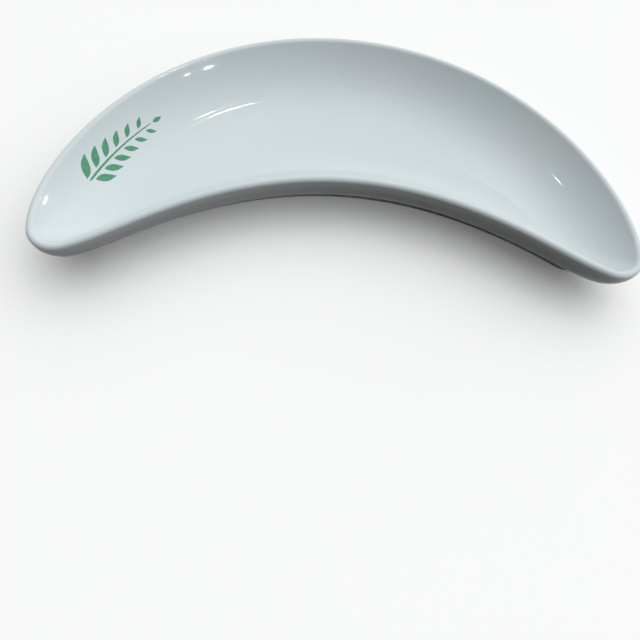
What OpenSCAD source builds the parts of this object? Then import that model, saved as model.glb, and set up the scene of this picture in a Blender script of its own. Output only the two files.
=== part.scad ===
// Crescent side dish in glazed porcelain: a half-moon bowl that sits beside a round dinner plate.
// Its outline follows a curved spine, with a half width that tapers towards two rounded tips.

/* [Outline] */
// Distance between the centres of the two rounded tips
tip_span = 199; // [150:1:250]
// How far the tips' centres lie in front of the middle of the spine
tip_drop = 65; // [45:1:85]
// How far the spine turns from its middle to each tip
bend = 56; // [40:1:68]
// Width across the middle, over the rim
width = 78; // [66:1:92]
// Width that the taper would have at the tips if they were not rounded off
horn_w = 25.4; // [20:0.2:32]
// Radius of each rounded tip
tip_r = 10; // [8:0.5:12]

/* [Rim and walls] */
// Height of the rim above the table
height = 23; // [19:0.5:30]
// Thickness of the rim, whose edge is fully rounded
rim_t = 3.2; // [2.4:0.1:4]
// Thickness of the floor at the middle of the bowl's lowest line
floor_t = 5.4; // [3:0.1:7]
// How far the lowest line lies inside the spine
valley_in = 3; // [0:0.5:8]
// Distance from a tip's centre back along the spine to the end of the lowest line
valley_end = 50; // [36:1:58]
// How much higher than its middle the lowest line ends
valley_rise = 1.5; // [0:0.1:3]
// How far the outer wall curls under before it meets the foot
wall_curl = 52; // [30:1:70]

/* [Foot] */
// Distance from the rim's outline in to the foot ring at the middle
foot_inset = 10; // [8:0.5:13]
// Distance from a tip's centre back along the spine to the centre of the foot ring's end
foot_end = 15.5; // [12:0.5:20]
// Radius of the foot ring's rounded ends
foot_tip_r = 7; // [6:0.1:8.5]
// Width of the foot ring
foot_w = 3.4; // [2.6:0.1:4]
// Height of the foot ring's outer face
foot_h = 4; // [3:0.1:5.5]
// Height of the underside above the table at the middle
recess_h = 1.6; // [1:0.1:2.5]
// Height of the underside above the table just inside the foot ring
arch_h = 3.2; // [2.6:0.1:4]
// Run of the underside's rise at the middle, from its flat middle to the foot ring
arch_run = 12; // [8:0.5:16]
// Distance from a tip's centre back along the spine to the centre of the flat middle's end
flat_end = 25; // [20:0.5:34]
// Radius of the flat middle's rounded ends
flat_tip_r = 3.2; // [2:0.1:4.2]
// Rounding of the standing edge
foot_round = 0.6; // [0.3:0.1:0.8]

/* [Glaze] */
// Thickness of the glaze
glaze_t = 0.3; // [0.2:0.05:0.5]
// Height at which the glaze is wiped off the foot ring
bare_h = 1.2; // [0.9:0.1:2]

/* [Printed sprig] */
// Length of the sprig's stem
stem_len = 34; // [26:1:46]
// Width of the stem
stem_w = 0.8; // [0.6:0.1:1.2]
// Distance from the tip's centre back along the spine to the foot of the stem
stem_start = 28; // [22:1:36]
// Distance from the rim's inner edge to the stem
stem_inset = 7.5; // [6.5:0.5:10]
// Length of the largest leaf, at the foot of the stem
leaf_len = 8; // [6:0.5:9]
// Length of the smallest leaf, at the top of the stem
top_leaf_len = 4; // [3:0.5:6]
// Width of a leaf for each millimetre of its length
leaf_ratio = 0.36; // [0.28:0.02:0.46]
// Gap between the stem and a leaf
leaf_gap = 0.5; // [0.3:0.1:1]
// How far a leaf leans away from the stem
leaf_lean = 34; // [25:1:48]
// Number of leaf pairs
leaf_pairs = 6; // [4:1:7]
// Thickness of the printed colour above the glaze
print_t = 0.1; // [0.06:0.01:0.15]

/* [Hidden] */

// Smoothness: points along each side of a horn and around a tip (an even number), rings over each
// surface, stations along the stem and a leaf, and steps to find a print's place on the bowl
side_n = 20;
tip_n = 8;
wall_n = 5;
rim_n = 6;
bowl_n = 12;
arch_n = 3;
stem_n = 14;
leaf_n = 6;
halvings = 20;
// Power of the half width's taper along the spine, and of the rounding close to the tips
taper_power = 2;
tip_power = 14;
// Points crowd towards the tips, where the outline turns fast
crowding = 1.2;
// Power by which the bowl rises from its lowest line to the rim: a flat floor and an even wall
bowl_power = 4.2;
// Shape of a leaf: how far its widest place lies towards the stem, and the share cut off each end
leaf_belly = 0.25;
leaf_cut = 0.06;
// How far one side's leaves sit ahead of the other's, as a share of their spacing
stagger = 0.35;
// Width of the stem's top, as a share of its width
stem_taper = 0.4;

// The spine is an arc of an ellipse with these half axes
spine_a = tip_span / 2 / sin(bend);
spine_b = tip_drop / (1 - cos(bend));
half_w = width / 2;
rim_r = rim_t / 2;
rim_z = height - rim_r;
floor_z = recess_h + floor_t;
half_n = 2 * side_n + tip_n;
ring_n = 2 * half_n;

// Length of the spine per radian of its angle, and the angle that a distance from the tip takes off
function pace(t) = norm([spine_a * cos(t), spine_b * sin(t)]);
function end_angle(back) = bend - back / pace(bend) * 180 / PI;

// Half width at the share u of the way to the end, and how fast it falls along the spine
function half_at(u, mid, horn, tip) =
    mid - (mid - horn) * pow(u, taper_power) - (horn - tip) * pow(u, tip_power);
function fall_at(u, end, mid, horn, tip) =
    ((mid - horn) * taper_power * pow(u, taper_power - 1)
        + (horn - tip) * tip_power * pow(u, tip_power - 1)) / (end * PI / 180 * pace(end * u));

// Point where the circle at share u touches the outline, on the side s: 1 outer, -1 inner.
// From turn = 0 on, the last circle is followed round the tip instead.
function along(t) = [spine_a * cos(t), -spine_b * sin(t)] / pace(t);
function spine(t) = [spine_a * sin(t), -spine_b * (1 - cos(t))];
function touch(o, u, s) =
    let (t = o[0] * u, f = fall_at(u, o[0], o[1], o[2], o[3]), d = along(t), n = [-d.y, d.x])
    spine(t) + half_at(u, o[1], o[2], o[3]) * (f * d + s * sqrt(1 - f * f) * n);
function tip_point(o, j) =
    let (a = acos(fall_at(1, o[0], o[1], o[2], o[3])), b = a * (1 - 2 * j / tip_n))
    let (d = along(o[0]), n = [-d.y, d.x])
    spine(o[0]) + o[3] * (cos(b) * d + sin(b) * n);

// A crescent is [end angle, half width at the middle, half width aimed at, tip radius].
// Its parallel outline lies d further in.
function inset(o, d) = [o[0], o[1] - d, o[2] - d, o[3] - d];
rim_line = [bend, half_w, horn_w / 2, tip_r];
foot_line = [end_angle(foot_end), half_w - foot_inset, foot_tip_r, foot_tip_r];
flat_line = [end_angle(flat_end), half_w - foot_inset - foot_w - arch_run, flat_tip_r, flat_tip_r];

// One closed ring of points: down the right half by its outer side, back by the left half
function share(i) = 1 - pow(1 - i / side_n, crowding);
function right_half(o) = concat(
    [for (i = [0:side_n]) touch(o, share(i), 1)],
    [for (j = [1:tip_n - 1]) tip_point(o, j)],
    [for (i = [side_n:-1:0]) touch(o, share(i), -1)]);
function closed(h) = concat(h, [for (k = [half_n - 1:-1:1]) [-h[k].x, h[k].y]]);
function outline(o) = closed(right_half(o));

// The rim's outline is centred on the origin from front to back
rim_ring = outline(rim_line);
rim_ys = [for (p = rim_ring) p.y];
centre_y = (max(rim_ys) + min(rim_ys)) / 2;
function lift(ring, z) = [for (p = ring) [p.x, p.y - centre_y, z]];
function blend(a, b, q) = [for (k = [0:ring_n - 1]) a[k] + q * (b[k] - a[k])];

// The bowl's lowest line, g below its glazed surface
function valley(u, g) =
    let (t = end_angle(valley_end) * u)
    [(spine_a - valley_in) * sin(t), (spine_b - valley_in) * cos(t) - spine_b - centre_y,
        floor_z - g + valley_rise * u * u];

// The rim's edge is followed up and inwards, through the turn c, from the point p of the outline
// with the direction e outwards. It ends where it leans as the bowl's wall does there.
function on_rim(p, e, c, g) =
    let (d = rim_r - (rim_r - g) * cos(c))
    [p.x - d * e.x, p.y - d * e.y - centre_y, rim_z + (rim_r - g) * sin(c)];
function full_turn(p, e, u) =
    let (b = valley(u, 0), run = (on_rim(p, e, 180, 0) - b) * [e.x, e.y, 0])
    90 + atan(bowl_power * (rim_z + rim_r / 2 - b.z) / run);

// Point of the bowl at the share r of the way from the lowest line's point b to the rim's point a
function in_bowl(a, b, r) =
    [b.x + r * (a.x - b.x), b.y + r * (a.y - b.y), b.z + pow(r, bowl_power) * (a.z - b.z)];

// For every point of a ring: its share, its direction outwards and the rim's turn
half_shares = concat(
    [for (i = [0:side_n]) share(i)], [for (j = [1:tip_n - 1]) 1], [for (i = [side_n:-1:0]) share(i)]);
ring_outs = let (a = outline(inset(rim_line, 1))) [for (j = [0:ring_n - 1]) rim_ring[j] - a[j]];
half_turns = [for (j = [0:half_n]) full_turn(rim_ring[j], ring_outs[j], half_shares[j])];
ring_turns = concat(half_turns, [for (j = [half_n - 1:-1:1]) half_turns[j]]);

// Rings of the outside, the rim and the bowl, each g below the glazed surface
function wall_rings(g) =
    let (a = outline(inset(rim_line, g)), b = outline(inset(foot_line, g)), low = foot_h + g)
    [for (k = [wall_n:-1:1])
        let (c = wall_curl * k / wall_n)
        lift(blend(a, b, (1 - cos(c)) / (1 - cos(wall_curl))),
            rim_z - (rim_z - low) * sin(c) / sin(wall_curl))];
function rim_rings(g) =
    [for (k = [0:rim_n])
        [for (j = [0:ring_n - 1]) on_rim(rim_ring[j], ring_outs[j], ring_turns[j] * k / rim_n, g)]];
function bowl_rings(g) =
    let (edge = rim_rings(g)[rim_n], low = [for (u = half_shares) valley(u, g)])
    [for (k = [1:bowl_n])
        let (half = [for (j = [0:half_n]) in_bowl(edge[j], low[j], cos(90 * k / (bowl_n + 0.5)))])
        concat(half, [for (j = [half_n - 1:-1:1]) [-half[j].x, half[j].y, half[j].z]])];
function upper_rings(g) = concat(wall_rings(g), rim_rings(g), bowl_rings(g));

// Rings of the underside inside the foot, from its flat middle out to the foot's inner face
function arch_rings(g) =
    let (a = outline(flat_line), b = outline(inset(foot_line, foot_w - g)))
    [for (k = [0:arch_n])
        let (q = k / arch_n)
        lift(blend(a, b, q), g + recess_h + (arch_h - recess_h) * (1 - cos(180 * q)) / 2)];
function foot_ring(d, z) = lift(outline(inset(foot_line, d)), z);
function reversed(v) = [for (k = [len(v) - 1:-1:0]) v[k]];

// Closed solid over a stack of rings: the first and the last ring are filled straight across
module ring_stack(rings) {
    last = (len(rings) - 1) * ring_n;
    sides = [for (r = [0:len(rings) - 2], k = [0:ring_n - 1])
        let (m = (k + 1) % ring_n, a = r * ring_n + k, b = r * ring_n + m, c = b + ring_n, d = a + ring_n)
        each (k < half_n ? [[a, b, c], [a, c, d]] : [[a, b, d], [b, c, d]])];
    function across(s) = [for (k = [0:half_n / 2 - 1])
        let (a = s + k, b = a + 1, c = s + half_n - k - 1, d = c + 1,
            e = s + (ring_n - k) % ring_n, f = s + ring_n - k - 1, g = s + half_n + k + 1, h = g - 1)
        each (b == c ? [[a, b, d], [e, h, f]] : [[a, b, c], [a, c, d], [e, g, f], [e, h, g]])];
    under = [for (t = across(0)) reversed(t)];
    polyhedron([for (r = rings) each r], concat(sides, under, across(last)));
}

// Pressed porcelain: floor, walls, rim and foot ring in one piece, the foot ground flat
module porcelain_body() {
    g = glaze_t;
    color("whitesmoke")
        difference() {
            ring_stack(concat(
                arch_rings(g),
                [foot_ring(foot_w - g, foot_round), foot_ring(foot_w - g - 2 * foot_round, -foot_round),
                    foot_ring(g + 2 * foot_round, -foot_round), foot_ring(g, foot_round)],
                upper_rings(g)));
            translate([-tip_span, -tip_span, -2 * foot_round])
                cube([2 * tip_span, 2 * tip_span, 2 * foot_round]);
        }
}

// Glaze over the bowl, the rim and the outside, down to the bare edge of the foot
module glaze_coat() {
    g = glaze_t;
    color("aliceblue")
        ring_stack(concat(
            reversed(upper_rings(g)), [foot_ring(g, bare_h), foot_ring(0, bare_h)], upper_rings(0)));
}

// Glaze inside the foot ring, apart from the rest
module underside_glaze() {
    g = glaze_t;
    color("azure")
        ring_stack(concat(
            arch_rings(0), [foot_ring(foot_w, bare_h), foot_ring(foot_w - g, bare_h)],
            reversed(arch_rings(g))));
}

// Point of the glazed bowl on the outer side of the left horn: s along the stem, w in from the rim.
// It lies on the straight line from the rim to the lowest line at some share u, found by halving.
function bowl_edge(u) =
    let (p = touch(rim_line, u, 1), e = p - touch(inset(rim_line, 1), u, 1))
    on_rim(p, e, full_turn(p, e, u), 0);
function flat(p) = [p.x, p.y];
function tipward(p, u) = let (a = bowl_edge(u)) cross(flat(valley(u, 0) - a), flat(p - a)) > 0;
function halved(p, from, to, n) =
    let (u = (from + to) / 2)
    n == 0 ? u : tipward(p, u) ? halved(p, u, to, n - 1) : halved(p, from, u, n - 1);
function on_bowl(s, w, up) =
    let (q = touch(inset(rim_line, rim_t + w), end_angle(stem_start + s) / bend, 1))
    let (p = [q.x, q.y - centre_y, 0], u = halved(p, 0, 1, halvings), a = bowl_edge(u), b = valley(u, 0))
    [-p.x, p.y, in_bowl(a, b, norm(flat(p - b)) / norm(flat(a - b))).z + up];

// A thin plate that lies on the bowl and sinks half way into the glaze, from stations of
// three points across, given as [s, w]
module printed(stations) {
    n = len(stations);
    function layer(up) = [for (q = stations, p = q) on_bowl(p[0], p[1], up)];
    function patch(o, k) = let (a = o + 3 * k) [[a, a + 3, a + 1], [a + 1, a + 3, a + 4],
        [a + 1, a + 4, a + 2], [a + 2, a + 4, a + 5]];
    top = [for (k = [0:n - 2]) each patch(0, k)];
    low = [for (k = [0:n - 2], t = patch(3 * n, k)) reversed(t)];
    edge = concat([for (k = [0:n - 1]) 3 * k], [3 * n - 2], [for (k = [n - 1:-1:0]) 3 * k + 2], [1]);
    rim = [for (k = [0:len(edge) - 1])
        let (a = edge[k], b = edge[(k + 1) % len(edge)])
        each [[b, a, b + 3 * n], [a, a + 3 * n, b + 3 * n]]];
    polyhedron(concat(layer(print_t), layer(-glaze_t / 2)), concat(top, low, rim));
}

// One leaf from its foot at s0 along the stem; it leans to the side -1 or 1, or lies straight on at 0
module leaf(s0, side, l) {
    a = side * leaf_lean;
    foot = [s0, stem_inset + side * (stem_w / 2 + leaf_gap)];
    printed([for (k = [0:leaf_n])
        let (q = leaf_cut + (1 - 2 * leaf_cut) * k / leaf_n)
        let (h = l * leaf_ratio / 2 * sin(180 * q) * (1 + leaf_belly * (1 - 2 * q)))
        [for (e = [-h, 0, h]) foot + l * q * [cos(a), sin(a)] + e * [-sin(a), cos(a)]]]);
}

// Green sprig fired on the glaze: a stem with pairs of pointed leaves that get smaller
module sprig_print() {
    pitch = stem_len / leaf_pairs;
    color("mediumseagreen") {
        printed([for (k = [0:stem_n])
            let (q = k / stem_n, h = stem_w / 2 * (1 - (1 - stem_taper) * q))
            [for (e = [-h, 0, h]) [stem_len * q, stem_inset + e]]]);
        for (i = [0:leaf_pairs - 1], side = [-1, 1])
            leaf(pitch * (i + (side > 0 ? stagger : 0)), side,
                leaf_len + (top_leaf_len - leaf_len) * i / (leaf_pairs - 1));
        leaf(stem_len + leaf_gap, 0, top_leaf_len);
    }
}

porcelain_body();
glaze_coat();
underside_glaze();
sprig_print();
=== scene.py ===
# A crescent side dish in glazed porcelain, on a plain table in soft light
import bpy
import math
from mathutils import Matrix, Vector


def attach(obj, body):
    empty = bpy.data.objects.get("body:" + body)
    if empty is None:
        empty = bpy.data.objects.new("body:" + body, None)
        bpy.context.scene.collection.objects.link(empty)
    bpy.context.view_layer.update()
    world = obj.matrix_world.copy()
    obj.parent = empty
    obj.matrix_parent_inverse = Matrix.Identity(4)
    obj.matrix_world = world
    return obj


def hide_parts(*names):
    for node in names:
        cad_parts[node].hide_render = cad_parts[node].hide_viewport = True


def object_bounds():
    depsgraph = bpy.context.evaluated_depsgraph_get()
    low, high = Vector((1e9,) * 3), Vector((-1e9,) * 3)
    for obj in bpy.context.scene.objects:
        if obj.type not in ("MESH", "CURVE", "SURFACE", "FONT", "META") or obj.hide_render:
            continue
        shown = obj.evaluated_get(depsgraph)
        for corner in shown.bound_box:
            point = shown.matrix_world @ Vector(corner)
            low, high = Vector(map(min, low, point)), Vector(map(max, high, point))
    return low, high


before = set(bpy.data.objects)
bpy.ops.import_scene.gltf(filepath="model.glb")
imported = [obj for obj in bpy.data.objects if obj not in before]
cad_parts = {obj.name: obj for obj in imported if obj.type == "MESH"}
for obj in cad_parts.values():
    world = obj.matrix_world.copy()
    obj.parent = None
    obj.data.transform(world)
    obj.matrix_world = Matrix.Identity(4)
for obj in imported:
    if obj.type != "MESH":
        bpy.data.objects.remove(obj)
cad_box = [list(corner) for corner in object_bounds()]

# ---------------------------------------------------------------------------------------------
# Porcelain body
# Hard white porcelain, pressed in a mould and fired in one piece: floor, walls, rounded rim and
# foot ring. All of it is under glaze but the standing edge of the foot, which is ground flat.
# ---------------------------------------------------------------------------------------------

dish_width = 0.078

# Sizes in metres and radians. The trim keeps this fine outline inside the solid's coarser one.
dish_sizes = {
    "Tip span": 0.199,
    "Tip drop": 0.065,
    "Bend": math.radians(56),
    "Width": dish_width,
    "Horn width": 0.0254,
    "Tip radius": 0.010,
    "Height": 0.023,
    "Rim thickness": 0.0032,
    "Floor thickness": 0.0054,
    "Valley inset": 0.003,
    "Valley end": 0.050,
    "Valley rise": 0.0015,
    "Bowl power": 4.2,
    "Wall curl": math.radians(52),
    "Foot inset": 0.010,
    "Foot end": 0.0155,
    "Foot tip radius": 0.007,
    "Foot width": 0.0034,
    "Foot height": 0.004,
    "Recess height": 0.0016,
    "Arch height": 0.0032,
    "Arch run": 0.012,
    "Flat end": 0.025,
    "Flat tip radius": 0.0032,
    "Foot rounding": 0.0006,
    "Glaze thickness": 0.0003,
    "Bare height": 0.0012,
    "Front to back": cad_box[1][1] - dish_width / 2,
    "Trim": 0.00007,
}


class Number:
    """A number that nodes work out, so that a formula can be written as one."""

    def __init__(self, socket):
        self.socket = socket

    def __add__(self, other):
        return calc("ADD", self, other)

    __radd__ = __add__

    def __sub__(self, other):
        return calc("SUBTRACT", self, other)

    def __rsub__(self, other):
        return calc("SUBTRACT", other, self)

    def __mul__(self, other):
        return calc("MULTIPLY", self, other)

    __rmul__ = __mul__

    def __truediv__(self, other):
        return calc("DIVIDE", self, other)

    def __pow__(self, other):
        return calc("POWER", self, other)


def wire(value, socket):
    """Feeds a socket from a number of the tree, or sets it to a plain value."""
    if isinstance(value, Number):
        socket.id_data.links.new(value.socket, socket)
    else:
        socket.default_value = value


def calc(operation, *terms):
    tree = next(term for term in terms if isinstance(term, Number)).socket.id_data
    node = tree.nodes.new("ShaderNodeMath")
    node.operation = operation
    for term, socket in zip(terms, node.inputs):
        wire(term, socket)
    return Number(node.outputs[0])


def sine(a):
    return calc("SINE", a)


def cosine(a):
    return calc("COSINE", a)


def root(a):
    return calc("SQRT", a)


def between(value, low, high):
    return calc("MINIMUM", calc("MAXIMUM", value, low), high)


def new_tree(name, inputs, outputs):
    """An empty Geometry Nodes tree with named numbers, its input numbers and its output node."""
    tree = bpy.data.node_groups.new(name, "GeometryNodeTree")
    for label, value in inputs.items():
        socket = tree.interface.new_socket(label, in_out="INPUT", socket_type="NodeSocketFloat")
        socket.default_value = value
    for label, kind in outputs.items():
        tree.interface.new_socket(label, in_out="OUTPUT", socket_type=kind)
    start = tree.nodes.new("NodeGroupInput")
    end = tree.nodes.new("NodeGroupOutput")
    return tree, {label: Number(start.outputs[label]) for label in inputs}, end


def position(tree):
    """The three coordinates of each point of the geometry that they are used on."""
    split = tree.nodes.new("ShaderNodeSeparateXYZ")
    tree.links.new(tree.nodes.new("GeometryNodeInputPosition").outputs[0], split.inputs[0])
    return [Number(split.outputs[axis]) for axis in "XYZ"]


def vector(tree, *terms):
    """A vector of up to three numbers, in which the rest are 0."""
    node = tree.nodes.new("ShaderNodeCombineXYZ")
    for term, socket in zip(terms, node.inputs):
        wire(term, socket)
    return node.outputs[0]


def unit_grid(tree, columns, rows):
    """A flat grid, one by one about the origin."""
    grid = tree.nodes.new("GeometryNodeMeshGrid")
    grid.inputs["Size X"].default_value = 1
    grid.inputs["Size Y"].default_value = 1
    grid.inputs["Vertices X"].default_value = columns + 1
    grid.inputs["Vertices Y"].default_value = rows + 1
    return grid.outputs["Mesh"]


def spine_axes(size):
    """Half axes of the ellipse that the dish's spine is an arc of."""
    bend = size["Bend"]
    return size["Tip span"] / 2 / sine(bend), size["Tip drop"] / (1 - cosine(bend))


# The share of the way round that one side of a horn takes, and how points crowd towards the tips
side_share = 0.42
crowding = 1.2


def share_of(around):
    """How far towards its horn's end the point lies that is the share Around of the way round."""
    half = 1 - calc("ABSOLUTE", 1 - 2 * around)
    return half, 1 - (1 - between(calc("MINIMUM", half, 1 - half) / side_share, 0, 1)) ** crowding


def side_of(around):
    """1 on the right half and -1 on the left."""
    return 2 * calc("LESS_THAN", around, 0.5) - 1


def crescent_group():
    """The point at the share Around of the way round a crescent, from its outer side's middle.

    The crescent follows a curved spine, with a half width that tapers towards two round tips.
    """
    taper_power, tip_power = 2, 14
    lines = ("End", "Half width", "Horn half width", "Tip radius")
    tree, size, end = new_tree(
        "crescent outline",
        {label: 0.0 for label in ("Around", "Spine across", "Spine along", *lines)},
        {"X": "NodeSocketFloat", "Y": "NodeSocketFloat"},
    )
    across, along = size["Spine across"], size["Spine along"]
    stop, mid, horn, tip = (size[label] for label in lines)
    half, u = share_of(size["Around"])
    turn = 1 - 2 * between((half - side_share) / (1 - 2 * side_share), 0, 1)
    angle = stop * u
    pace = root((across * cosine(angle)) ** 2 + (along * sine(angle)) ** 2)
    ahead_x = across * cosine(angle) / pace
    ahead_y = along * sine(angle) / pace * -1
    half_width = mid - (mid - horn) * u**taper_power - (horn - tip) * u**tip_power
    fall = (mid - horn) * taper_power * u + (horn - tip) * tip_power * u ** (tip_power - 1)
    lean = calc("ARCCOSINE", fall / (stop * pace)) * turn
    x = across * sine(angle) + half_width * (cosine(lean) * ahead_x - sine(lean) * ahead_y)
    y = along * (cosine(angle) - 1) + half_width * (cosine(lean) * ahead_y + sine(lean) * ahead_x)
    wire(x * side_of(size["Around"]), end.inputs["X"])
    wire(y, end.inputs["Y"])
    return tree


crescent = crescent_group()


class Dish:
    """The dish's surfaces in one tree, each a patch of crescents from one edge to another."""

    around_n = 300
    wall_rows, rim_rows, bowl_rows = 10, 12, 36
    flat_rows, arch_rows, edge_rows = 4, 8, 6
    weld_distance = 0.000002

    def __init__(self, name, sizes=dish_sizes):
        self.sizes = sizes
        self.tree, self.size, self.end = new_tree(name, sizes, {"Geometry": "NodeSocketGeometry"})
        size = self.size
        self.axes = spine_axes(size)
        rim_r = size["Rim thickness"] / 2
        self.rim_r = rim_r
        self.rim_z = size["Height"] - rim_r
        self.floor_z = size["Recess height"] + size["Floor thickness"]
        half_w = size["Width"] / 2
        rim = [size["Bend"], half_w, size["Horn width"] / 2, size["Tip radius"]]
        self.rim_line = self.inset(rim, size["Trim"])
        foot_tip, flat_tip = size["Foot tip radius"], size["Flat tip radius"]
        foot_mid = half_w - size["Foot inset"]
        flat_mid = foot_mid - size["Foot width"] - size["Arch run"]
        self.foot_line = [self.end_angle(size["Foot end"]), foot_mid, foot_tip, foot_tip]
        self.flat_line = [self.end_angle(size["Flat end"]), flat_mid, flat_tip, flat_tip]
        self.patches = []
        self.turned = False

    def end_angle(self, back):
        """The spine's angle at a distance back from the tip's centre."""
        across, along = self.axes
        bend = self.size["Bend"]
        return bend - back / root((across * cosine(bend)) ** 2 + (along * sine(bend)) ** 2)

    def inset(self, line, depth):
        return [line[0], line[1] - depth, line[2] - depth, line[3] - depth]

    def shrunk(self, line, share):
        return [line[0], line[1] * share, line[2] * share, line[3] * share]

    def point(self, around, line):
        node = self.tree.nodes.new("GeometryNodeGroup")
        node.node_tree = crescent
        for value, socket in zip((around, *self.axes, *line), node.inputs):
            wire(value, socket)
        return Number(node.outputs["X"]), Number(node.outputs["Y"])

    def blended(self, around, first, second, q):
        x, y = self.point(around, first)
        far_x, far_y = self.point(around, second)
        return x + q * (far_x - x), y + q * (far_y - y)

    def patch(self, rows, place):
        """A grid of so many rows that runs once round: place(around, v) gives a point's x, y, z."""
        across, up, _ = position(self.tree)
        x, y, z = place(across + 0.5, up + 0.5)
        grid = unit_grid(self.tree, self.around_n, rows)
        shape = self.moved(grid, x, y + self.size["Front to back"], z)
        self.patches.append(shape if self.turned else self.flipped(shape))

    def moved(self, shape, x, y, z):
        """The shape with each of its points moved to x, y and z."""
        node = self.tree.nodes.new("GeometryNodeSetPosition")
        self.tree.links.new(shape, node.inputs["Geometry"])
        self.tree.links.new(vector(self.tree, x, y, z), node.inputs["Position"])
        return node.outputs["Geometry"]

    def flipped(self, shape):
        flip = self.tree.nodes.new("GeometryNodeFlipFaces")
        self.tree.links.new(shape, flip.inputs["Mesh"])
        return flip.outputs["Mesh"]

    def valley(self, around, g):
        """The bowl's lowest line, which runs inside the spine."""
        size = self.size
        across, along = self.axes
        inside = size["Valley inset"]
        u = share_of(around)[1]
        t = self.end_angle(size["Valley end"]) * u
        x = (across - inside) * sine(t) * side_of(around)
        y = (along - inside) * cosine(t) - along
        return x, y, self.floor_z - g + size["Valley rise"] * u**2

    def on_rim(self, around, v, g):
        """The rim's edge, from upright outside to where it leans as the bowl's wall does there."""
        thickness = self.size["Rim thickness"]
        x, y = self.point(around, self.rim_line)
        far_x, far_y = self.point(around, self.inset(self.rim_line, thickness))
        out_x, out_y = (x - far_x) / thickness, (y - far_y) / thickness
        low_x, low_y, low_z = self.valley(around, 0)
        run = (far_x - low_x) * out_x + (far_y - low_y) * out_y
        rise = self.rim_z + self.rim_r / 2 - low_z
        turn = v * (math.pi / 2 + calc("ARCTANGENT", self.size["Bowl power"] * rise / run))
        r = self.rim_r - g
        inward = self.rim_r - r * cosine(turn)
        return x - inward * out_x, y - inward * out_y, self.rim_z + r * sine(turn)

    def bowl(self, g, rows):
        """The inside, from the rim down to its lowest line."""
        def place(around, v):
            x, y, z = self.on_rim(around, 1, g)
            low_x, low_y, low_z = self.valley(around, g)
            r = cosine(math.pi / 2 * v)
            rise = calc("MAXIMUM", r, 0) ** self.size["Bowl power"]
            return low_x + r * (x - low_x), low_y + r * (y - low_y), low_z + rise * (z - low_z)

        self.patch(rows, place)

    def upper(self, g, fine=1):
        """The outer wall, the rim and the bowl, at the depth g under the glaze."""
        curl = self.size["Wall curl"]
        foot_top = self.size["Foot height"] + g
        rim, foot = self.inset(self.rim_line, g), self.inset(self.foot_line, g)

        def wall(around, v):
            c = curl * (1 - v)
            z = self.rim_z - (self.rim_z - foot_top) * sine(c) / sine(curl)
            return *self.blended(around, rim, foot, (1 - cosine(c)) / (1 - cosine(curl))), z

        self.patch(self.wall_rows * fine, wall)
        self.patch(self.rim_rows * fine, lambda around, v: self.on_rim(around, v, g))
        self.bowl(g, self.bowl_rows * fine)

    def under(self, g):
        """The underside inside the foot ring, from its middle out to the foot's inner face."""
        size = self.size
        low = size["Recess height"] + g
        edge = self.inset(self.foot_line, size["Foot width"] - g)

        def arch(around, v):
            rise = (size["Arch height"] - size["Recess height"]) * (1 - cosine(math.pi * v)) / 2
            return *self.blended(around, self.flat_line, edge, v), low + rise

        def flat(around, v):
            return *self.point(around, self.shrunk(self.flat_line, v)), low

        self.patch(self.flat_rows, flat)
        self.patch(self.arch_rows, arch)

    def foot(self, rows, from_depth, from_z, to_depth, to_z):
        """A straight band of the foot ring, from one depth inside its outline and height on."""
        def place(around, v):
            depth = from_depth + v * (to_depth - from_depth)
            line = self.inset(self.foot_line, depth)
            return *self.point(around, line), from_z + v * (to_z - from_z)

        self.patch(rows, place)

    def rounding(self, centre, z, r, start, sweep):
        """A round edge of the foot ring, about a centre at a depth inside its outline."""
        def place(around, v):
            c = start + sweep * v
            line = self.inset(self.foot_line, centre + r * cosine(c))
            return *self.point(around, line), z + r * sine(c)

        self.patch(self.edge_rows, place)

    def built(self, material):
        """Joins the patches into one closed mesh with its material, and makes it a plain object."""
        nodes, links = self.tree.nodes, self.tree.links
        join = nodes.new("GeometryNodeJoinGeometry")
        for patch in reversed(self.patches):
            links.new(patch, join.inputs[0])
        weld = nodes.new("GeometryNodeMergeByDistance")
        weld.inputs["Distance"].default_value = self.weld_distance
        links.new(join.outputs[0], weld.inputs["Geometry"])
        real = nodes.new("GeometryNodeRealizeInstances")
        links.new(weld.outputs["Geometry"], real.inputs["Geometry"])
        finish = nodes.new("GeometryNodeSetMaterial")
        finish.inputs["Material"].default_value = material
        links.new(real.outputs["Geometry"], finish.inputs["Geometry"])
        links.new(finish.outputs["Geometry"], self.end.inputs["Geometry"])
        return plain_mesh(self.tree, self.sizes)


# Edges that turn by more than this stay sharp
sharp_angle = math.radians(40)


def plain_mesh(tree, sizes):
    """Runs a tree on an empty object and keeps the result as that object's own mesh."""
    piece = bpy.data.objects.new(tree.name, bpy.data.meshes.new(tree.name))
    bpy.context.scene.collection.objects.link(piece)
    modifier = piece.modifiers.new(tree.name, "NODES")
    modifier.node_group = tree
    for item in tree.interface.items_tree:
        if item.in_out == "INPUT" and item.name in sizes:
            modifier[item.identifier] = sizes[item.name]
    graph = bpy.context.evaluated_depsgraph_get()
    mesh = bpy.data.meshes.new_from_object(piece.evaluated_get(graph))
    piece.modifiers.clear()
    piece.data = mesh
    mesh.name = tree.name
    mesh.shade_smooth()
    mesh.set_sharp_from_angle(angle=sharp_angle)
    return piece


def new_material(name):
    """A material with nothing but its shader, and its nodes and links to add to."""
    material = bpy.data.materials.new(name)
    material.use_nodes = True
    nodes, links = material.node_tree.nodes, material.node_tree.links
    return material, nodes, links, nodes["Principled BSDF"]


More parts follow.
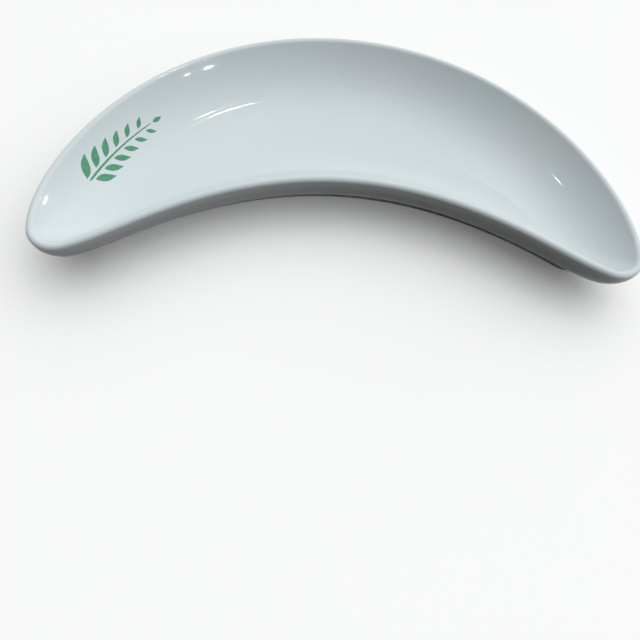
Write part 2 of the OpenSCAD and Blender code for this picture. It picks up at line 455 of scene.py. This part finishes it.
def object_noise(nodes, links, scale, detail=2.0, roughness=0.5):
    """Noise that lies still on the piece, in its own coordinates."""
    place = nodes.new("ShaderNodeTexCoord")
    noise = nodes.new("ShaderNodeTexNoise")
    noise.inputs["Scale"].default_value = scale
    noise.inputs["Detail"].default_value = detail
    noise.inputs["Roughness"].default_value = roughness
    links.new(place.outputs["Object"], noise.inputs["Vector"])
    return noise.outputs["Fac"]


def blend_colours(nodes, links, factor, first, second):
    """Goes from the first colour to the second as the factor goes from 0 to 1."""
    mix = nodes.new("ShaderNodeMix")
    mix.data_type = "RGBA"
    links.new(factor, mix.inputs["Factor"])
    for colour, socket in ((first, mix.inputs["A"]), (second, mix.inputs["B"])):
        if isinstance(colour, bpy.types.NodeSocket):
            links.new(colour, socket)
        else:
            socket.default_value = (*colour, 1)
    return mix.outputs["Result"]


def ramp(nodes, links, factor, low, high, to_low=0.0, to_high=1.0):
    """Maps a stretch of a factor to another range, and holds its ends."""
    node = nodes.new("ShaderNodeMapRange")
    node.inputs["From Min"].default_value = low
    node.inputs["From Max"].default_value = high
    node.inputs["To Min"].default_value = to_low
    node.inputs["To Max"].default_value = to_high
    links.new(factor, node.inputs["Value"])
    return node.outputs["Result"]


def bump(nodes, links, height, distance, shader, before=None):
    """Raises the shader's surface by up to a distance, on top of an earlier bump."""
    node = nodes.new("ShaderNodeBump")
    node.inputs["Distance"].default_value = distance
    links.new(height, node.inputs["Height"])
    if before:
        links.new(before, node.inputs["Normal"])
    links.new(node.outputs["Normal"], shader.inputs["Normal"])
    return node.outputs["Normal"]


clean_clay, rubbed_clay = (0.74, 0.73, 0.70), (0.50, 0.49, 0.47)
clay_grain_height = 0.00004


def bare_porcelain():
    """Fired, unglazed porcelain: warm white and dull, greyed where the foot rubs on tables."""
    material, nodes, links, shader = new_material("bare porcelain")
    grain = object_noise(nodes, links, scale=2500, detail=3)
    patches = object_noise(nodes, links, scale=90, detail=4, roughness=0.6)
    rubbed = ramp(nodes, links, patches, 0.5, 0.75)
    colour = blend_colours(nodes, links, rubbed, clean_clay, rubbed_clay)
    links.new(colour, shader.inputs["Base Color"])
    dullness = ramp(nodes, links, grain, 0.3, 0.7, to_low=0.55, to_high=0.75)
    links.new(dullness, shader.inputs["Roughness"])
    bump(nodes, links, grain, clay_grain_height, shader)
    return material


body = Dish("porcelain_body_piece")
g = body.size["Glaze thickness"]
foot_w, foot_r = body.size["Foot width"], body.size["Foot rounding"]
body.under(g)
inner, outer = foot_w - g - foot_r, g + foot_r
body.foot(3, foot_w - g, body.size["Arch height"] + g, foot_w - g, foot_r)
body.rounding(inner, foot_r, foot_r, 0, -math.pi / 2)
body.foot(2, inner, 0, outer, 0)
body.rounding(outer, foot_r, foot_r, -math.pi / 2, -math.pi / 2)
body.foot(4, g, foot_r, g, body.size["Foot height"] + g)
body.upper(g)
porcelain = body.built(bare_porcelain())
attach(porcelain, "root")
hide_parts("porcelain_body")

# ---------------------------------------------------------------------------------------------
# Glaze over the bowl, the rim and the outside
# A clear feldspar glaze, dipped and fired with the clay, so that it lies on it like glass, 0.3 mm
# thick. It runs down to the foot ring, where it is wiped off before the kiln.
# ---------------------------------------------------------------------------------------------


cool_white, neutral_white = (0.676, 0.750, 0.772), (0.698, 0.754, 0.768)
speck_brown = (0.16, 0.15, 0.14)
glass_ior = 1.5
glaze_wave_height, glaze_ripple_height = 0.0002, 0.000004


def white_glaze():
    """Cool white and glossy, with a faint unevenness and a few tiny dark specks from the kiln."""
    material, nodes, links, shader = new_material("white glaze")
    clouds = object_noise(nodes, links, scale=22, detail=3, roughness=0.55)
    cloudy = ramp(nodes, links, clouds, 0.35, 0.65)
    colour = blend_colours(nodes, links, cloudy, cool_white, neutral_white)

    # One cell in eight holds a speck, at most 0.9 mm across
    place = nodes.new("ShaderNodeTexCoord")
    cells = nodes.new("ShaderNodeTexVoronoi")
    cells.inputs["Scale"].default_value = 75
    links.new(place.outputs["Object"], cells.inputs["Vector"])
    few = nodes.new("ShaderNodeSeparateColor")
    links.new(cells.outputs["Color"], few.inputs["Color"])
    size = ramp(nodes, links, few.outputs["Red"], 0.88, 1.0, to_high=0.034)
    inside = nodes.new("ShaderNodeMath")
    inside.operation = "SUBTRACT"
    links.new(size, inside.inputs[0])
    links.new(cells.outputs["Distance"], inside.inputs[1])
    speck = ramp(nodes, links, inside.outputs[0], 0.0, 0.01, to_high=0.7)
    colour = blend_colours(nodes, links, speck, colour, speck_brown)
    links.new(colour, shader.inputs["Base Color"])

    shader.inputs["IOR"].default_value = glass_ior
    wiped = object_noise(nodes, links, scale=45, detail=4, roughness=0.6)
    dullness = ramp(nodes, links, wiped, 0.3, 0.7, to_low=0.05, to_high=0.085)
    links.new(dullness, shader.inputs["Roughness"])
    waves = object_noise(nodes, links, scale=45, detail=1)
    ripples = object_noise(nodes, links, scale=420, detail=2)
    waved = bump(nodes, links, waves, glaze_wave_height, shader)
    bump(nodes, links, ripples, glaze_ripple_height, shader, before=waved)
    return material


glaze_finish = white_glaze()
coat = Dish("glaze_coat_piece")
g, bare, foot_top = (
    coat.size[label] for label in ("Glaze thickness", "Bare height", "Foot height")
)
coat.foot(1, g, foot_top + g, g, bare)
coat.rounding(g, bare + g, g, -math.pi / 2, -math.pi / 2)
coat.foot(4, 0, bare + g, 0, foot_top)
coat.upper(0, fine=2)
coat.turned = True
coat.upper(g)
glaze = coat.built(glaze_finish)
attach(glaze, "root")
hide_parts("glaze_coat")

# ---------------------------------------------------------------------------------------------
# Glaze inside the foot ring
# The same glaze from the same dip, cut off from the rest by the bare standing edge. It fills the
# shallow recess of the underside and stops at the wiped edge of the foot's inner face.
# ---------------------------------------------------------------------------------------------

recess = Dish("underside_glaze_piece")
g, bare, foot_w, arch = (
    recess.size[label] for label in ("Glaze thickness", "Bare height", "Foot width", "Arch height")
)
recess.under(0)
recess.foot(4, foot_w, arch, foot_w, bare + g)
recess.rounding(foot_w - g, bare + g, g, 0, -math.pi / 2)
recess.foot(1, foot_w - g, bare, foot_w - g, arch + g)
recess.turned = True
recess.under(g)
underside = recess.built(glaze_finish)
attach(underside, "root")
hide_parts("underside_glaze")

# ---------------------------------------------------------------------------------------------
# Printed sprig
# Green enamel, screen printed on the glaze and fired again at a lower heat: a stem with pairs of
# pointed leaves, which lies on the bowl's wall in the left horn and follows its curve.
# ---------------------------------------------------------------------------------------------

sprig_sizes = {
    "Stem length": 0.034,
    "Stem width": 0.0008,
    "Stem start": 0.028,
    "Stem inset": 0.0075,
    "Stem taper": 0.4,
    "Leaf length": 0.008,
    "Top leaf length": 0.004,
    "Leaf ratio": 0.36,
    "Leaf belly": 0.25,
    "Leaf gap": 0.0005,
    "Leaf lean": math.radians(34),
    "Leaf pairs": 6,
    "Stagger": 0.35,
    "Print thickness": 0.0001,
}
deep_green, light_green = (0.050, 0.270, 0.140), (0.100, 0.370, 0.215)
washed_green = (0.45, 0.62, 0.55)


def green_enamel():
    """Leaf green, less glossy than the glaze, mottled, and thin at the edges of stem and leaves."""
    material, nodes, links, shader = new_material("green enamel")
    across = nodes.new("ShaderNodeAttribute")
    across.attribute_name = "Across"
    side = nodes.new("ShaderNodeMath")
    side.operation = "ABSOLUTE"
    links.new(across.outputs["Fac"], side.inputs[0])
    mottle = object_noise(nodes, links, scale=900, detail=3, roughness=0.6)
    mottled = ramp(nodes, links, mottle, 0.35, 0.7)
    green = blend_colours(nodes, links, mottled, deep_green, light_green)
    thin = ramp(nodes, links, side.outputs[0], 0.80, 1.0, to_high=0.55)
    green = blend_colours(nodes, links, thin, green, washed_green)
    links.new(green, shader.inputs["Base Color"])
    shader.inputs["IOR"].default_value = glass_ior
    dullness = ramp(nodes, links, mottle, 0.3, 0.7, to_low=0.14, to_high=0.24)
    links.new(dullness, shader.inputs["Roughness"])
    return material


# Points along a leaf, along the stem and round the film, and the power that rounds off its ends
leaf_n, stem_n, film_n = 18, 60, 16
end_power = 12


def film(dish, rows, length, half_width):
    """A thin closed film laid flat along X. half_width(q) is its half width at the share q."""
    along, about, _ = position(dish.tree)
    q, turn = along + 0.5, about * math.tau
    across, rise = cosine(turn), sine(turn)
    ends = root(1 - calc("ABSOLUTE", 2 * q - 1) ** end_power)
    thickness = dish.size["Print thickness"] * calc("MAXIMUM", rise, 0)
    sunk = dish.size["Glaze thickness"] / 2 * calc("MINIMUM", rise, 0)
    kept = dish.tree.nodes.new("GeometryNodeStoreNamedAttribute")
    kept.inputs["Name"].default_value = "Across"
    wire(across, kept.inputs["Value"])
    dish.tree.links.new(unit_grid(dish.tree, rows, film_n), kept.inputs["Geometry"])
    width, height = half_width(q) * ends * across, (thickness + sunk) * ends
    return dish.moved(kept.outputs["Geometry"], length * q, width, height)


def leaves(dish):
    """The leaves, flat on both sides of the stem and one at its end, smaller towards the top."""
    nodes, links, size = dish.tree.nodes, dish.tree.links, dish.size
    pairs = size["Leaf pairs"]
    belly = size["Leaf belly"]
    half_ratio = size["Leaf ratio"] / 2

    def leaf_half_width(q):
        return half_ratio * sine(math.pi * q) * (1 + belly * (1 - 2 * q))

    leaf = film(dish, leaf_n, 1.0, leaf_half_width)
    points = nodes.new("GeometryNodeMeshLine")
    wire(2 * pairs + 1, points.inputs["Count"])
    index = Number(nodes.new("GeometryNodeInputIndex").outputs[0])
    last = calc("GREATER_THAN", index, 2 * pairs - 0.5)
    pair = calc("FLOOR", index / 2)
    ahead = calc("MODULO", index, 2) * (1 - last)
    side = (2 * ahead - 1) * (1 - last)
    gap = size["Leaf gap"]
    along = size["Stem length"] / pairs * (pair + size["Stagger"] * ahead) + gap * last
    in_from_rim = size["Stem inset"] + side * (size["Stem width"] / 2 + gap)
    shrink = between(pair / (pairs - 1), 0, 1)
    length = size["Leaf length"] + (size["Top leaf length"] - size["Leaf length"]) * shrink
    grow = nodes.new("GeometryNodeInstanceOnPoints")
    links.new(dish.moved(points.outputs["Mesh"], along, in_from_rim, 0), grow.inputs["Points"])
    links.new(leaf, grow.inputs["Instance"])
    links.new(vector(dish.tree, 0, 0, side * size["Leaf lean"]), grow.inputs["Rotation"])
    links.new(vector(dish.tree, length, length, 1), grow.inputs["Scale"])
    real = nodes.new("GeometryNodeRealizeInstances")
    links.new(grow.outputs["Instances"], real.inputs["Geometry"])
    return real.outputs["Geometry"]


def laid_on_bowl(dish, flat, bowl):
    """Lays flat geometry on the wall of the left horn: X runs along the stem, Y in from the rim."""
    nodes, links, size = dish.tree.nodes, dish.tree.links, dish.size
    s, w, up = position(dish.tree)
    u = dish.end_angle(size["Stem start"] + s) / size["Bend"]
    around = 1 - (1 - (1 - u) ** (1 / crowding)) * side_share / 2
    x, y = dish.point(around, dish.inset(dish.rim_line, size["Rim thickness"] + w))
    y = y + size["Front to back"]
    drop = nodes.new("GeometryNodeRaycast")
    drop.inputs["Ray Direction"].default_value = (0, 0, -1)
    links.new(bowl, drop.inputs["Target Geometry"])
    links.new(vector(dish.tree, x, y, size["Height"]), drop.inputs["Source Position"])
    wire(size["Height"], drop.inputs["Ray Length"])
    hit = nodes.new("ShaderNodeSeparateXYZ")
    links.new(drop.outputs["Hit Position"], hit.inputs[0])
    return dish.moved(flat, x, y, Number(hit.outputs["Z"]) + up)


sprig = Dish("printed_sprig", {**dish_sizes, **sprig_sizes})
stem_w, stem_inset, taper = (
    sprig.size[label] for label in ("Stem width", "Stem inset", "Stem taper")
)
flat_stem = film(
    sprig, stem_n, sprig.size["Stem length"], lambda q: stem_w / 2 * (1 - (1 - taper) * q)
)
stem = sprig.tree.nodes.new("GeometryNodeTransform")
sprig.tree.links.new(flat_stem, stem.inputs["Geometry"])
sprig.tree.links.new(vector(sprig.tree, 0, stem_inset), stem.inputs["Translation"])
sprig.bowl(0, 2 * sprig.bowl_rows)
bowl = sprig.patches.pop()
sprig.patches = [
    laid_on_bowl(sprig, flat, bowl) for flat in (stem.outputs["Geometry"], leaves(sprig))
]
printed = sprig.built(green_enamel())
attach(printed, "root")
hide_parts("sprig_print")

# ---------------------------------------------------------------------------------------------
# Table, light and camera
# A plain pale table top and soft light from all of the room, which is brightest high up on the
# right and at the back, and dark low in front. Small lamps make the pairs of glints in the glaze.
# ---------------------------------------------------------------------------------------------

table_size, table_drop = 6.0, 0.00002
bpy.ops.mesh.primitive_plane_add(size=table_size, location=(0, 0, -table_drop))
table = bpy.context.object
table.name = "table"

# What is looked at is a pale table, while the light that it throws up is that of a dark one
pale_table, dark_table = (0.96, 0.95, 0.94), (0.04, 0.038, 0.036)
table_glow = 0.10

material = bpy.data.materials.new("table top")
material.use_nodes = True
nodes, links = material.node_tree.nodes, material.node_tree.links
nodes.remove(nodes["Principled BSDF"])
lit = nodes.new("ShaderNodeBsdfDiffuse")
lit.inputs["Color"].default_value = (*pale_table, 1)
glow = nodes.new("ShaderNodeEmission")
glow.inputs["Color"].default_value = (1, 1, 1, 1)
glow.inputs["Strength"].default_value = table_glow
seen = nodes.new("ShaderNodeAddShader")
links.new(lit.outputs[0], seen.inputs[0])
links.new(glow.outputs[0], seen.inputs[1])
unseen = nodes.new("ShaderNodeBsdfDiffuse")
unseen.inputs["Color"].default_value = (*dark_table, 1)


def looked_at(nodes, links):
    """1 for what is seen straight, mirrored or through glass, and 0 for what only gives light."""
    path = nodes.new("ShaderNodeLightPath")
    total = path.outputs["Is Camera Ray"]
    for kind in ("Is Glossy Ray", "Is Transmission Ray"):
        either = nodes.new("ShaderNodeMath")
        either.operation = "MAXIMUM"
        links.new(total, either.inputs[0])
        links.new(path.outputs[kind], either.inputs[1])
        total = either.outputs[0]
    return total


view_mix = nodes.new("ShaderNodeMixShader")
links.new(looked_at(nodes, links), view_mix.inputs["Fac"])
links.new(unseen.outputs[0], view_mix.inputs[1])
links.new(seen.outputs[0], view_mix.inputs[2])
links.new(view_mix.outputs[0], nodes["Material Output"].inputs["Surface"])
table.data.materials.append(material)

# The room grows evenly brighter along this direction, from none to its full strength
brightest_way = (0.82, 0.82, 2.30)
dark_until, full_from, room_strength = 0.8, 2.8, 2.05
room_tint = (0.97, 0.99, 1.0)

world = bpy.data.worlds.new("room")
bpy.context.scene.world = world
world.use_nodes = True
nodes, links = world.node_tree.nodes, world.node_tree.links
room = nodes["Background"]
room.inputs["Color"].default_value = (*room_tint, 1)
direction = nodes.new("ShaderNodeTexCoord")
towards = nodes.new("ShaderNodeVectorMath")
towards.operation = "DOT_PRODUCT"
towards.inputs[1].default_value = brightest_way
links.new(direction.outputs["Generated"], towards.inputs[0])
how_far = towards.outputs["Value"]
strength = ramp(nodes, links, how_far, dark_until, full_from, to_high=room_strength)
links.new(strength, room.inputs["Strength"])
backdrop = nodes.new("ShaderNodeBackground")
backdrop.inputs["Color"].default_value = (1, 1, 1, 1)
mix = nodes.new("ShaderNodeMixShader")
links.new(looked_at(nodes, links), mix.inputs["Fac"])
links.new(room.outputs[0], mix.inputs[1])
links.new(backdrop.outputs[0], mix.inputs[2])
links.new(mix.outputs[0], nodes["World Output"].inputs["Surface"])


lamp_distance = 1.6
cool_light, warm_light, sky_light = (0.92, 0.97, 1.0), (1.0, 0.88, 0.78), (0.85, 0.93, 1.0)


def lamp(name, azimuth, elevation, width, height, strength, colour):
    """A soft box seen from the dish at an azimuth, clockwise from the back, and an elevation."""
    light = bpy.data.lights.new(name, "AREA")
    light.shape = "RECTANGLE"
    light.size, light.size_y = width, height
    light.energy = strength * width * height * math.pi
    light.color = colour
    turn, rise = math.radians(azimuth), math.radians(elevation)
    way = Vector((math.sin(turn) * math.cos(rise), math.cos(turn) * math.cos(rise), math.sin(rise)))
    holder = bpy.data.objects.new(name, light)
    turned = way.to_track_quat("Z", "Y").to_matrix().to_4x4()
    holder.matrix_world = Matrix.Translation(way * lamp_distance) @ turned
    bpy.context.scene.collection.objects.link(holder)


lamp("white lamp", 21, 70.2, 0.017, 0.017, 220, cool_light)
lamp("warm lamp", 43, 72.6, 0.020, 0.020, 200, warm_light)
lamp("right lamp", 130.6, 27.6, 0.06, 0.02, 150, cool_light)
lamp("low right lamp", 123.8, 25.9, 0.02, 0.02, 120, warm_light)
lamp("side lamp", 64, 12.8, 0.12, 0.03, 60, cool_light)
lamp("left lamp", -86, 55, 0.02, 0.02, 160, sky_light)

# The photograph's camera, as angles: turned to the right, looking down, and rolled
camera_place = Vector((-0.0193, -0.1670, 0.1982))
heading, pitch, roll = 0.12891, 1.10302, 0.16011
focal_length, frame_width = 33.755, 36.0
clip_start = 0.01
level_part = math.cos(pitch)
ahead = Vector((math.sin(heading) * level_part, math.cos(heading) * level_part, -math.sin(pitch)))
level = Vector((math.cos(heading), -math.sin(heading), 0))
above = level.cross(ahead)
right = math.cos(roll) * level + math.sin(roll) * above
top = math.cos(roll) * above - math.sin(roll) * level
camera = bpy.data.objects.new("camera", bpy.data.cameras.new("camera"))
camera.data.lens = focal_length
camera.data.sensor_width = frame_width
camera.data.clip_start = clip_start
turned = Matrix((right, top, -ahead)).transposed().to_4x4()
camera.matrix_world = Matrix.Translation(camera_place) @ turned
bpy.context.scene.collection.objects.link(camera)
bpy.context.scene.camera = camera
bpy.context.scene.view_settings.view_transform = "Standard"
